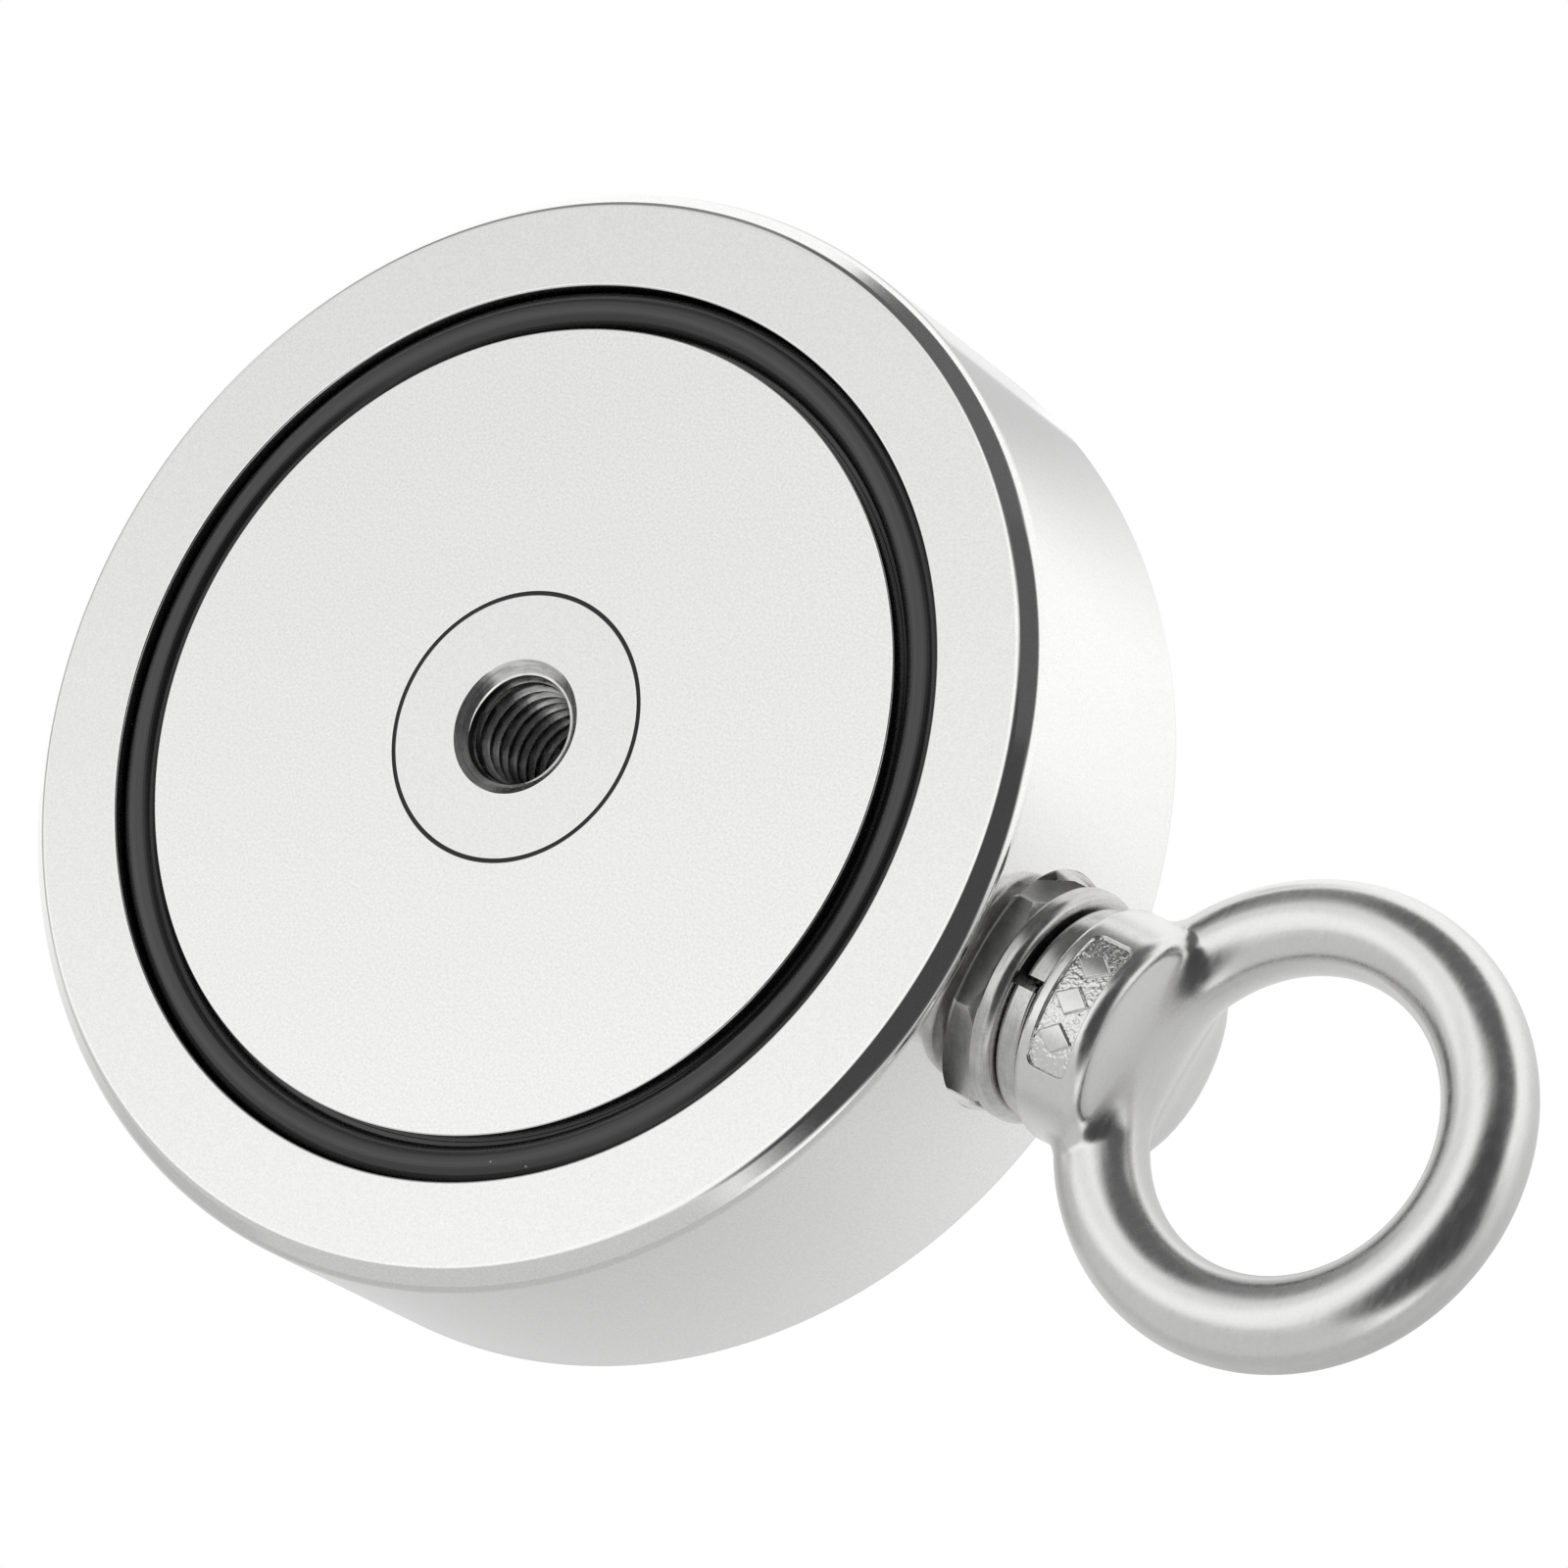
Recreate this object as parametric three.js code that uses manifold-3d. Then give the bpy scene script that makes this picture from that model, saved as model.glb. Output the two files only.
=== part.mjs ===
// A double-sided fishing magnet with its eye bolt, in millimetres, lying on its rear face, +Z up.
// A steel pot carries a ring magnet in each face, a threaded bush through its centre, and an eye bolt
// screwed into its side along +X, with a lock nut, a flat washer and a spring washer under its collar.
// The origin is at the middle of the bottom of the whole object's box.

import * as THREE from "three";
import { mergeVertices } from "three/addons/utils/BufferGeometryUtils.js";
import Module from "manifold-3d";

const wasm = await Module();
wasm.setup();

// Pot: a round casing with one pocket in each face and a solid web between the pockets
const CASING_RADIUS = 47;
const CASING_HEIGHT = 28;
const CASING_EDGE_ROUND = 1.2;
const RIM_WIDTH = 8.7;
const WEB_THICKNESS = 13;

// Magnets, their glue films, and the filled groove between each magnet and the rim
const BOND_THICKNESS = 0.5;
const SEAL_WIDTH = 3.8;
const SEAL_HEIGHT = 2.6;
const SEAL_CROWN_RISE = 1.6;
const SEAL_RECESS = 0.3;

// Centre bush: a threaded sleeve through the web and both magnets
const BUSH_RADIUS = 11.3;
const BUSH_THREAD_RADIUS = 4.25;
const BUSH_MOUTH_RADIUS = 5.7;
const BUSH_SEAM_WIDTH = 0.3;
const BUSH_SEAM_DEPTH = 2;
const BUSH_SEAM_RECESS = 0.15;

// Side hole: a spot face for the lock nut and a tapped hole behind it
const SPOT_FACE_DEPTH = 3.5;
const SPOT_FACE_CLEARANCE = 0.6;
const SIDE_HOLE_CLEARANCE = 0.2;
const SIDE_HOLE_END_ROOM = 1.5;
const DRILL_POINT_SLOPE = 0.6;

// Eye bolt: shank, collar and ring forged in one piece
const SHANK_RADIUS = 4.9;
const SHANK_LENGTH = 30;
const SHANK_POINT_CHAMFER = 1;
const COLLAR_RADIUS = 10;
const COLLAR_THICKNESS = 6.5;
const COLLAR_EDGE_ROUND = 0.9;
const RING_INNER_RADIUS = 12.5;
const RING_TUBE_RADIUS = 3.8;
const SEAT_TO_RING_CENTRE = 20.2;
const RING_TILT_DEG = -3.4;

// Lock nut and washers on the shank
const NUT_ACROSS_FLATS = 17;
const NUT_THICKNESS = 5;
const NUT_CHAMFER_SLOPE = 0.577;
const NUT_TURN_DEG = 25;
const NUT_BORE_CLEARANCE = 0.2;
const WASHER_BORE_CLEARANCE = 0.35;
const FLAT_WASHER_RADIUS = 10;
const FLAT_WASHER_THICKNESS = 1.8;
const FLAT_WASHER_EDGE = 0.3;
const SPRING_WASHER_RADIUS = 9.1;
const SPRING_WASHER_THICKNESS = 2.2;
const SPRING_WASHER_RISE = 0.5;
const SPRING_WASHER_SPLIT_DEG = 9;
const SPRING_WASHER_SPLIT_TURN_DEG = -5.5;

const SEAM_GAP = 0.02; // hairline left where two pieces meet, so that neither is pushed into the other
const ROUND_SEGMENTS = 60;
const SMALL_ROUND_SEGMENTS = 36;
const CORNER_STEPS = 3;
const MERGE_DISTANCE = 1e-4;
const CUT_OVERRUN = 5; // how far a cutting body runs past the face it opens

// Sizes that follow from the ones above
const pocketRadius = CASING_RADIUS - RIM_WIDTH;
const pocketDepth = (CASING_HEIGHT - WEB_THICKNESS) / 2;
const magnetRadius = pocketRadius - SEAL_WIDTH;
const magnetBoreRadius = BUSH_RADIUS + BUSH_SEAM_WIDTH;
const nutCornerRadius = NUT_ACROSS_FLATS / Math.sqrt(3);
const spotFaceRadius = nutCornerRadius + SPOT_FACE_CLEARANCE;
const boltHeight = CASING_HEIGHT / 2;

// Distances along the bolt, measured from the magnet's own axis
const nutStart = CASING_RADIUS - SPOT_FACE_DEPTH + SEAM_GAP;
const flatWasherStart = nutStart + NUT_THICKNESS + SEAM_GAP;
const springWasherStart = flatWasherStart + FLAT_WASHER_THICKNESS + SEAM_GAP;
const collarSeat = springWasherStart + SPRING_WASHER_THICKNESS + SPRING_WASHER_RISE + SEAM_GAP;
const ringCentre = collarSeat + SEAT_TO_RING_CENTRE;
const ringRadius = RING_INNER_RADIUS + RING_TUBE_RADIUS;
const boltReach = ringCentre + ringRadius + RING_TUBE_RADIUS;
const magnetAxisX = (CASING_RADIUS - boltReach) / 2;

// Finishes
const nickelPlate = new THREE.MeshStandardMaterial({ color: 0xdedede, roughness: 0.22, metalness: 1 });
const magnetPlate = new THREE.MeshStandardMaterial({ color: 0xe6e6e6, roughness: 0.28, metalness: 1 });
const castStainless = new THREE.MeshStandardMaterial({ color: 0xb8b8b8, roughness: 0.32, metalness: 1 });
const turnedStainless = new THREE.MeshStandardMaterial({ color: 0xa6a6a6, roughness: 0.3, metalness: 1 });
const blackRubber = new THREE.MeshStandardMaterial({ color: 0x1c1c1c, roughness: 0.45, metalness: 0 });
const epoxy = new THREE.MeshStandardMaterial({ color: 0x242424, roughness: 0.6, metalness: 0 });

// A closed manifold solid from a three.js geometry, with the slivers at poles and seams dropped.
function solidFrom(geometry) {
  geometry.deleteAttribute("normal");
  geometry.deleteAttribute("uv");
  const merged = mergeVertices(geometry, MERGE_DISTANCE);
  const corners = merged.index.array;
  const triangles = [];
  for (let i = 0; i < corners.length; i += 3) {
    const [a, b, c] = corners.subarray(i, i + 3);
    if (a !== b && b !== c && c !== a) triangles.push(a, b, c);
  }
  const mesh = new wasm.Mesh({
    numProp: 3,
    vertProperties: merged.attributes.position.array,
    triVerts: new Uint32Array(triangles),
  });
  return new wasm.Manifold(mesh);
}

function meshFrom(name, solid, material) {
  const { vertProperties, triVerts } = solid.getMesh();
  const geometry = new THREE.BufferGeometry();
  geometry.setAttribute("position", new THREE.BufferAttribute(vertProperties, 3));
  geometry.setIndex(new THREE.BufferAttribute(triVerts, 1));
  const mesh = new THREE.Mesh(geometry, material);
  mesh.name = name;
  return mesh;
}

// Points on a quarter or other arc of an ellipse, as [radius, height] pairs.
function arc(centreR, centreH, acrossR, acrossH, fromDeg, toDeg, steps = CORNER_STEPS) {
  const points = [];
  for (let i = 0; i <= steps; i += 1) {
    const angle = THREE.MathUtils.degToRad(fromDeg + ((toDeg - fromDeg) * i) / steps);
    points.push([centreR + acrossR * Math.cos(angle), centreH + acrossH * Math.sin(angle)]);
  }
  return points;
}

// A profile of [radius, height] pairs, anticlockwise, turned round +Z.
function turned(profile, segments) {
  const points = profile.map(([radius, height]) => new THREE.Vector2(radius, height));
  return solidFrom(new THREE.LatheGeometry(points, segments).rotateX(Math.PI / 2));
}

// The same, turned round +X, with its heights measured along +X.
function turnedAlongX(profile, segments) {
  const points = profile.map(([radius, along]) => new THREE.Vector2(radius, along));
  return solidFrom(new THREE.LatheGeometry(points, segments).rotateZ(-Math.PI / 2));
}

function closed(profile) {
  return [...profile, profile[0]];
}

function ringProfile(innerRadius, outerRadius, low, high) {
  return closed([
    [innerRadius, low],
    [outerRadius, low],
    [outerRadius, high],
    [innerRadius, high],
  ]);
}

// Steel pot, built round the magnet's axis with its rear face at height 0
function casing() {
  const round = CASING_EDGE_ROUND;
  const low = (CASING_HEIGHT - WEB_THICKNESS) / 2;
  const high = CASING_HEIGHT - low;
  const webBore = BUSH_RADIUS + SEAM_GAP;
  const body = turned(
    closed([
      [pocketRadius, 0],
      ...arc(CASING_RADIUS - round, round, round, round, -90, 0),
      ...arc(CASING_RADIUS - round, CASING_HEIGHT - round, round, round, 0, 90),
      [pocketRadius, CASING_HEIGHT],
      [pocketRadius, high],
      [webBore, high],
      [webBore, low],
      [pocketRadius, low],
    ]),
    ROUND_SEGMENTS,
  );
  return meshFrom("casing", body.subtract(sideHole()), nickelPlate);
}

// The spot face and the tapped hole with its drill point, as one cutting body
function sideHole() {
  const floor = CASING_RADIUS - SPOT_FACE_DEPTH;
  const radius = SHANK_RADIUS + SIDE_HOLE_CLEARANCE;
  const end = collarSeat - SHANK_LENGTH - SIDE_HOLE_END_ROOM;
  const cutter = turnedAlongX(
    [
      [0, end - radius * DRILL_POINT_SLOPE],
      [radius, end],
      [radius, floor],
      [spotFaceRadius, floor],
      [spotFaceRadius, CASING_RADIUS + CUT_OVERRUN],
      [0, CASING_RADIUS + CUT_OVERRUN],
    ],
    SMALL_ROUND_SEGMENTS,
  );
  return cutter.translate([0, 0, boltHeight]);
}

function centreBush() {
  const mouthDepth = BUSH_MOUTH_RADIUS - BUSH_THREAD_RADIUS;
  const body = turned(
    closed([
      [BUSH_MOUTH_RADIUS, 0],
      [BUSH_RADIUS, 0],
      [BUSH_RADIUS, CASING_HEIGHT],
      [BUSH_MOUTH_RADIUS, CASING_HEIGHT],
      [BUSH_THREAD_RADIUS, CASING_HEIGHT - mouthDepth],
      [BUSH_THREAD_RADIUS, mouthDepth],
    ]),
    ROUND_SEGMENTS,
  );
  return meshFrom("centre_bush", body, nickelPlate);
}

// One face's magnet, glue, potting and seals. Heights are measured up from the face, so all are negative.
function facePieces(side) {
  const pocketFloor = -pocketDepth + SEAM_GAP;
  const bondTop = pocketFloor + BOND_THICKNESS;
  const sealTop = -SEAL_RECESS;
  const sealFoot = sealTop - SEAL_HEIGHT;
  const sealMiddle = (magnetRadius + pocketRadius) / 2;
  const sealHalfWidth = SEAL_WIDTH / 2 - SEAM_GAP;
  const seamTop = -BUSH_SEAM_RECESS;
  const shapes = [
    ["magnet_bond", ringProfile(magnetBoreRadius, magnetRadius, pocketFloor, bondTop - SEAM_GAP), epoxy],
    ["magnet", ringProfile(magnetBoreRadius, magnetRadius, bondTop, 0), magnetPlate],
    [
      "potting_ring",
      ringProfile(magnetRadius + SEAM_GAP, pocketRadius - SEAM_GAP, pocketFloor, sealFoot - SEAM_GAP),
      epoxy,
    ],
    [
      "seal_ring",
      closed([
        [sealMiddle - sealHalfWidth, sealFoot],
        [sealMiddle + sealHalfWidth, sealFoot],
        ...arc(sealMiddle, sealTop - SEAL_CROWN_RISE, sealHalfWidth, SEAL_CROWN_RISE, 0, 180, 2 * CORNER_STEPS),
      ]),
      blackRubber,
    ],
    [
      "bush_seal",
      ringProfile(BUSH_RADIUS + SEAM_GAP, magnetBoreRadius - SEAM_GAP, seamTop - BUSH_SEAM_DEPTH, seamTop),
      epoxy,
    ],
  ];
  const group = new THREE.Group();
  for (const [name, profile, material] of shapes) {
    group.add(meshFrom(`${side}_${name}`, turned(profile, ROUND_SEGMENTS), material));
  }
  return group;
}

// Shank, collar and ring, joined, along +X from the magnet's axis
function eyeBolt() {
  const round = COLLAR_EDGE_ROUND;
  const tip = collarSeat - SHANK_LENGTH;
  const collarTop = collarSeat + COLLAR_THICKNESS;
  const stem = turnedAlongX(
    [
      [0, tip],
      [SHANK_RADIUS - SHANK_POINT_CHAMFER, tip],
      [SHANK_RADIUS, tip + SHANK_POINT_CHAMFER],
      [SHANK_RADIUS, collarSeat],
      ...arc(COLLAR_RADIUS - round, collarSeat + round, round, round, -90, 0),
      ...arc(COLLAR_RADIUS - round, collarTop - round, round, round, 0, 90),
      [0, collarTop],
    ],
    SMALL_ROUND_SEGMENTS,
  );
  const ring = solidFrom(
    new THREE.TorusGeometry(ringRadius, RING_TUBE_RADIUS, SMALL_ROUND_SEGMENTS / 2, SMALL_ROUND_SEGMENTS)
      .translate(ringCentre, 0, 0),
  );
  return meshFrom("eye_bolt", stem.add(ring), castStainless);
}

// Hexagonal nut with both faces chamfered at their corners
function lockNut() {
  const flatRadius = NUT_ACROSS_FLATS / 2;
  const chamfer = (nutCornerRadius - flatRadius) * NUT_CHAMFER_SLOPE;
  const end = nutStart + NUT_THICKNESS;
  const boreRadius = SHANK_RADIUS + NUT_BORE_CLEARANCE;
  const prism = solidFrom(
    new THREE.CylinderGeometry(nutCornerRadius, nutCornerRadius, NUT_THICKNESS, 6)
      .rotateZ(-Math.PI / 2)
      .rotateX(THREE.MathUtils.degToRad(NUT_TURN_DEG))
      .translate(nutStart + NUT_THICKNESS / 2, 0, 0),
  );
  const blank = turnedAlongX(
    closed([
      [boreRadius, nutStart],
      [flatRadius, nutStart],
      [nutCornerRadius, nutStart + chamfer],
      [nutCornerRadius, end - chamfer],
      [flatRadius, end],
      [boreRadius, end],
    ]),
    SMALL_ROUND_SEGMENTS,
  );
  return meshFrom("lock_nut", prism.intersect(blank), turnedStainless);
}

function flatWasher() {
  const bore = SHANK_RADIUS + WASHER_BORE_CLEARANCE;
  const end = flatWasherStart + FLAT_WASHER_THICKNESS;
  const edge = FLAT_WASHER_EDGE;
  const body = turnedAlongX(
    closed([
      [bore, flatWasherStart],
      [FLAT_WASHER_RADIUS - edge, flatWasherStart],
      [FLAT_WASHER_RADIUS, flatWasherStart + edge],
      [FLAT_WASHER_RADIUS, end - edge],
      [FLAT_WASHER_RADIUS - edge, end],
      [bore, end],
    ]),
    SMALL_ROUND_SEGMENTS,
  );
  return meshFrom("flat_washer", body, turnedStainless);
}

// A square bar bent round the shank, with its two ends a small rise apart at the split
function springWasher() {
  const bore = SHANK_RADIUS + WASHER_BORE_CLEARANCE;
  const width = SPRING_WASHER_RADIUS - bore;
  const bar = new THREE.BoxGeometry(1, width, SPRING_WASHER_THICKNESS, SMALL_ROUND_SEGMENTS, 1, 1);
  bar.translate(0.5, bore + width / 2, SPRING_WASHER_THICKNESS / 2);
  const place = bar.getAttribute("position");
  const sweep = 360 - SPRING_WASHER_SPLIT_DEG;
  const start = SPRING_WASHER_SPLIT_TURN_DEG + SPRING_WASHER_SPLIT_DEG / 2;
  for (let i = 0; i < place.count; i += 1) {
    const share = place.getX(i);
    const radius = place.getY(i);
    const angle = THREE.MathUtils.degToRad(start + sweep * share);
    const along = springWasherStart + place.getZ(i) + SPRING_WASHER_RISE * share;
    place.setXYZ(i, along, radius * Math.sin(angle), radius * Math.cos(angle));
  }
  return meshFrom("spring_washer", solidFrom(bar), turnedStainless);
}

const front = facePieces("front");
front.position.z = CASING_HEIGHT;

const rear = facePieces("rear");
rear.rotation.x = Math.PI;

const bolt = new THREE.Group();
bolt.add(eyeBolt(), lockNut());
bolt.rotation.x = THREE.MathUtils.degToRad(RING_TILT_DEG);
bolt.position.z = boltHeight;

const washers = new THREE.Group();
washers.add(flatWasher(), springWasher());
washers.position.z = boltHeight;

const magnet = new THREE.Group();
magnet.add(casing(), centreBush(), front, rear, bolt, washers);
magnet.position.x = magnetAxisX;

const fishingMagnet = new THREE.Group();
fishingMagnet.add(magnet);

export default fishingMagnet;
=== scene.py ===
"""A double-sided fishing magnet: a nickel-plated steel pot with a ring magnet in each face, a threaded
centre bush, and a cast eye bolt screwed into its side over a lock nut and two washers.

Everything is in metres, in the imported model's frame: the pot lies on its rear face with +Z up and the
bolt along +X. Angles round the bolt start at +Z and grow towards +Y."""

from math import atan2, cos, hypot, pi, radians, sin, sqrt, tan

import bpy
import numpy as np
from mathutils import Matrix, Vector, noise


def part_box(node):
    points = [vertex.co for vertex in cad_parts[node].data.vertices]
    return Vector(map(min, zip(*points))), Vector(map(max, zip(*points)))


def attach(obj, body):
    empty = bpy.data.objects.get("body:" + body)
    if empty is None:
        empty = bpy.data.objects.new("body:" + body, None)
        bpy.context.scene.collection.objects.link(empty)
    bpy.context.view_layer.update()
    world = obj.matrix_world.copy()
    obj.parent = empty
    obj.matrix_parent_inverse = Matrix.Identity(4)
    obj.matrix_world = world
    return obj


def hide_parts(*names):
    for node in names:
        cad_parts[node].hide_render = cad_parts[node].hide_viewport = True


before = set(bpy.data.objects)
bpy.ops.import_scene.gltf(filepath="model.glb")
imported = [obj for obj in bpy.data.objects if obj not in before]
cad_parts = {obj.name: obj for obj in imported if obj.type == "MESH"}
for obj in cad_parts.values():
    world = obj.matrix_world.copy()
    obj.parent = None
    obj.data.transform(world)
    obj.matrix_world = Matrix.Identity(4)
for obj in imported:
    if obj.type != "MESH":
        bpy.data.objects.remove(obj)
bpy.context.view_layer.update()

MM = 0.001

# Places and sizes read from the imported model
pot_low, pot_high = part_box("casing")
magnet_low, magnet_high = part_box("front_magnet")
seal_low, seal_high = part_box("front_seal_ring")
bush_low, bush_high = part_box("centre_bush")
hair_low, hair_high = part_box("front_bush_seal")
nut_low, nut_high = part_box("lock_nut")
flat_low, flat_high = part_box("flat_washer")
spring_low, spring_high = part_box("spring_washer")
bolt_low, bolt_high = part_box("eye_bolt")

AXIS_X = (pot_low.x + pot_high.x) / 2
POT_RADIUS = (pot_high.x - pot_low.x) / 2
POT_HEIGHT = pot_high.z - pot_low.z
BOLT_HEIGHT = (pot_low.z + pot_high.z) / 2
POCKET_RADIUS = (seal_high.x - seal_low.x) / 2
POCKET_DEPTH = 7.5 * MM
MAGNET_RADIUS = (magnet_high.x - magnet_low.x) / 2
BUSH_RADIUS = (bush_high.x - bush_low.x) / 2
HAIRLINE_RADIUS = (hair_high.x - hair_low.x) / 2

# Gaps between pieces that meet
FIT_GAP = 0.02 * MM
GROOVE_GAP = 0.03 * MM
HAIRLINE_GAP = 0.003 * MM

# Finishing sizes of the pot, the magnets and their seals
POT_CHAMFER = 1.45 * MM
POT_CHAMFER_ROUND = 0.8 * MM
POT_SHOULDER = 1.6 * MM
POT_POCKET_EDGE = 0.18 * MM
MAGNET_EDGE = 0.16 * MM
HAIRLINE_EDGE = 0.09 * MM
HAIRLINE_SUNK = 0.012 * MM
HAIRLINE_DEPTH = 2 * MM
BOND_SPACE = 0.52 * MM
SEAL_RECESS = POT_HEIGHT - seal_high.z
SEAL_HALF = 1.68 * MM
SEAL_RISE = 1.6 * MM
BUSH_MOUTH_RADIUS = 5.7 * MM
BUSH_ENTRY_RADIUS = 4.85 * MM
BUSH_LEDGE_RADIUS = 4.66 * MM
BUSH_LIP = 0.06 * MM
BUSH_FIRST_CREST = 3 * MM
BUSH_THREADED_HALF = POT_HEIGHT / 2 - 1.0 * MM
SPOT_FACE_RADIUS = 10.4 * MM
SPOT_FACE_RUN_OUT = 4 * MM

# M10 thread, and the sizes that the shank and the taps are cut to
THREAD_PITCH = 1.5 * MM
THREAD_MAJOR = 5.0 * MM
THREAD_MINOR = 4.19 * MM
THREAD_CREST = 0.1
THREAD_SIDES = 72
SHANK_MAJOR = THREAD_MAJOR - 0.06 * MM
SIDE_TAP_MAJOR = THREAD_MAJOR + 0.06 * MM
SIDE_TAP_MINOR = THREAD_MINOR + 0.1 * MM
BUSH_TAP_MAJOR = THREAD_MAJOR + 0.05 * MM
BUSH_TAP_MINOR = THREAD_MINOR - 0.01 * MM
TAP_RUN_OUT = 1 * MM

# Lock nut. Its round faces are NUT_FACE_SHARE of the width across its flats.
NUT_FLATS = 17 * MM
NUT_FACE_SHARE = 0.96
NUT_BORE = THREAD_MAJOR + 0.08 * MM
NUT_MOUTH = 0.5 * MM
NUT_EDGE = 0.15 * MM
NUT_TURN = radians(25)

# Eye bolt
COLLAR_SEAT = spring_high.x + FIT_GAP
COLLAR_RADIUS = 10 * MM
COLLAR_THICKNESS = 6.5 * MM
RING_TUBE = 3.8 * MM
RING_RADIUS = (bolt_high.y - bolt_low.y) / 2 - RING_TUBE
RING_CENTRE_X = bolt_high.x - RING_TUBE - RING_RADIUS
RING_TILT = radians(-3.4)
COLLAR_SEAT_EDGE = 0.5 * MM
COLLAR_TOP_EDGE = 1.5 * MM
FILLET = 1.15 * MM
FILLET_MIDDLE = 3.6 * MM
FILLET_SPREAD = 9.5 * MM
FILLET_START = 0.5 * MM
FILLET_FULL = 3.5 * MM
FILLET_LEAST = 0.02 * MM
EYE_GRID = 0.25 * MM
SHANK_ROOT = 1 * MM
SHANK_TIP_STEP = 0.4 * MM
SHANK_TIP_CHAMFER = 1.3 * MM

# Stippled panel on the collar's side, with three plain lozenge pads; half sizes
PANEL_TURN = radians(-1)
PANEL_MIDDLE = 3.1 * MM
PANEL_LENGTH = 6.3 * MM
PANEL_WIDTH = 1.95 * MM
PANEL_ROUND = 0.9 * MM
PANEL_WALL = 0.14 * MM
PANEL_DEPTH = 0.28 * MM
PANEL_MARGIN = 0.2 * MM
PANEL_FACES_WITHIN = 0.35 * MM
PANEL_POINTS_WITHIN = 0.5 * MM
PANEL_CUTS = 4
STIPPLE_SIZE = 0.4 * MM
STIPPLE_HEIGHT = 0.06 * MM
PADS = (-3.3 * MM, 0, 3.3 * MM)
PAD_HALF = 1.35 * MM
PAD_REACH = 1.75 * MM
PAD_SLOPE = 7
PAD_DEPTH = 0.03 * MM

# Depth of the grain in each finish
PLATE_GRAIN = 0.25e-6
CAST_GRAIN = 3e-6
TURNED_GRAIN = 4e-6
TAPPED_GRAIN = 5e-6
RUBBER_GRAIN = 3e-6
EPOXY_GRAIN = 20e-6

# How far each metal leans to warm, and how far the plate's tone wanders
NICKEL_WARMTH = 0.004
CAST_WARMTH = 0.006
TURNED_WARMTH = 0.008
PLATE_SPREAD = 0.07

# Light table: its glow on the near side, what the far side adds, and what each painted shade takes away
FLOOR_SIZE = 4.0
FLOOR_DROP = 0.05 * MM
NEAR_GLOW = 0.53
FAR_GLOW = 0.55
EYE_SHADE = 0.24
PAINTED_PATCH_SHADE = 0.42
WALL_SHADE = 0.15
# Where each of them starts and ends. EYE_FADE is measured from EYE_SHADE_X, POT_RISE from the pot's
# axis, and the others from the frame's middle.
FAR_SIDE = (-0.35, 0.94)
FAR_RISE = (-75 * MM, 30 * MM)
EYE_SHADE_X = 64 * MM
EYE_FADE = (16 * MM, 46 * MM)
PAINTED_PATCH_SIDE = (0.536, 0.844)
PAINTED_PATCH_EDGE = (33.6 * MM, 34.1 * MM)
PAINTED_PATCH_END_X = (-11 * MM, 16 * MM)
PAINTED_PATCH_END_Y = (58 * MM, 100 * MM)
WALL_RISE_X = (-75 * MM, -50 * MM)
WALL_END_X = (-13 * MM, -9 * MM)
WALL_RISE_Y = (34 * MM, 42 * MM)
POT_RISE = (POT_RADIUS - 5 * MM, POT_RADIUS + 1 * MM)

# Studio
STUDIO_LIGHT = 1.33
# Dark screens: azimuth, elevation, radius of the full shade, radius where it has faded, depth
SCREENS = (
    (3, 48, 32, 50, 0.94),
    (-5, 18, 12, 27, 0.93),
    (55, 28, 18, 32, 0.9),
    (98, 26, 24, 40, 0.88),
    (130, 12, 14, 27, 0.78),
    (158, 42, 5, 24, 0.3),
    (148, 22, 8, 24, 0.75),
    (185, 12, 10, 26, 0.5),
    (-105, 5, 48, 64, 0.42),
)

# Facets round a large piece, a small one and a plain cutter
ROUND_SIDES = 288
SMALL_SIDES = 144
CUTTER_SIDES = 96

# Points closer than WELD are one. A flat longer than HOLD_FROM gets a point HOLD from each end.
WELD = 0.5e-6
HOLD = 0.03 * MM
HOLD_FROM = 6 * HOLD


# --- Modelling helpers -------------------------------------------------------------------------

def clear_selection():
    if bpy.context.object and bpy.context.object.mode != "OBJECT":
        bpy.ops.object.mode_set(mode="OBJECT")
    bpy.ops.object.select_all(action="DESELECT")


def make_active(piece):
    clear_selection()
    piece.select_set(True)
    bpy.context.view_layer.objects.active = piece


def settle(piece, place=Matrix.Identity(4)):
    """Moves the piece to its place and leaves that place in its mesh."""
    piece.matrix_world = place @ piece.matrix_world
    make_active(piece)
    bpy.ops.object.transform_apply(location=True, rotation=True, scale=True)
    return piece


def apply_modifier(piece, kind, **settings):
    modifier = piece.modifiers.new(kind.lower(), kind)
    for name, value in settings.items():
        setattr(modifier, name, value)
    make_active(piece)
    bpy.ops.object.modifier_apply(modifier=modifier.name)
    return piece


def cut(piece, cutter, operation="DIFFERENCE"):
    """Cuts, joins or crosses the piece with the cutter, which is used up."""
    apply_modifier(piece, "BOOLEAN", operation=operation, object=cutter, solver="EXACT")
    bpy.data.objects.remove(cutter)
    return piece


def weld(piece):
    """Joins points that lie together and turns every face outwards."""
    make_active(piece)
    bpy.ops.object.mode_set(mode="EDIT")
    bpy.ops.mesh.select_all(action="SELECT")
    bpy.ops.mesh.remove_doubles(threshold=WELD)
    bpy.ops.mesh.normals_make_consistent(inside=False)
    bpy.ops.object.mode_set(mode="OBJECT")
    return piece


def smooth(piece, degrees=35):
    make_active(piece)
    bpy.ops.object.shade_smooth_by_angle(angle=radians(degrees))
    return piece


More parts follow.
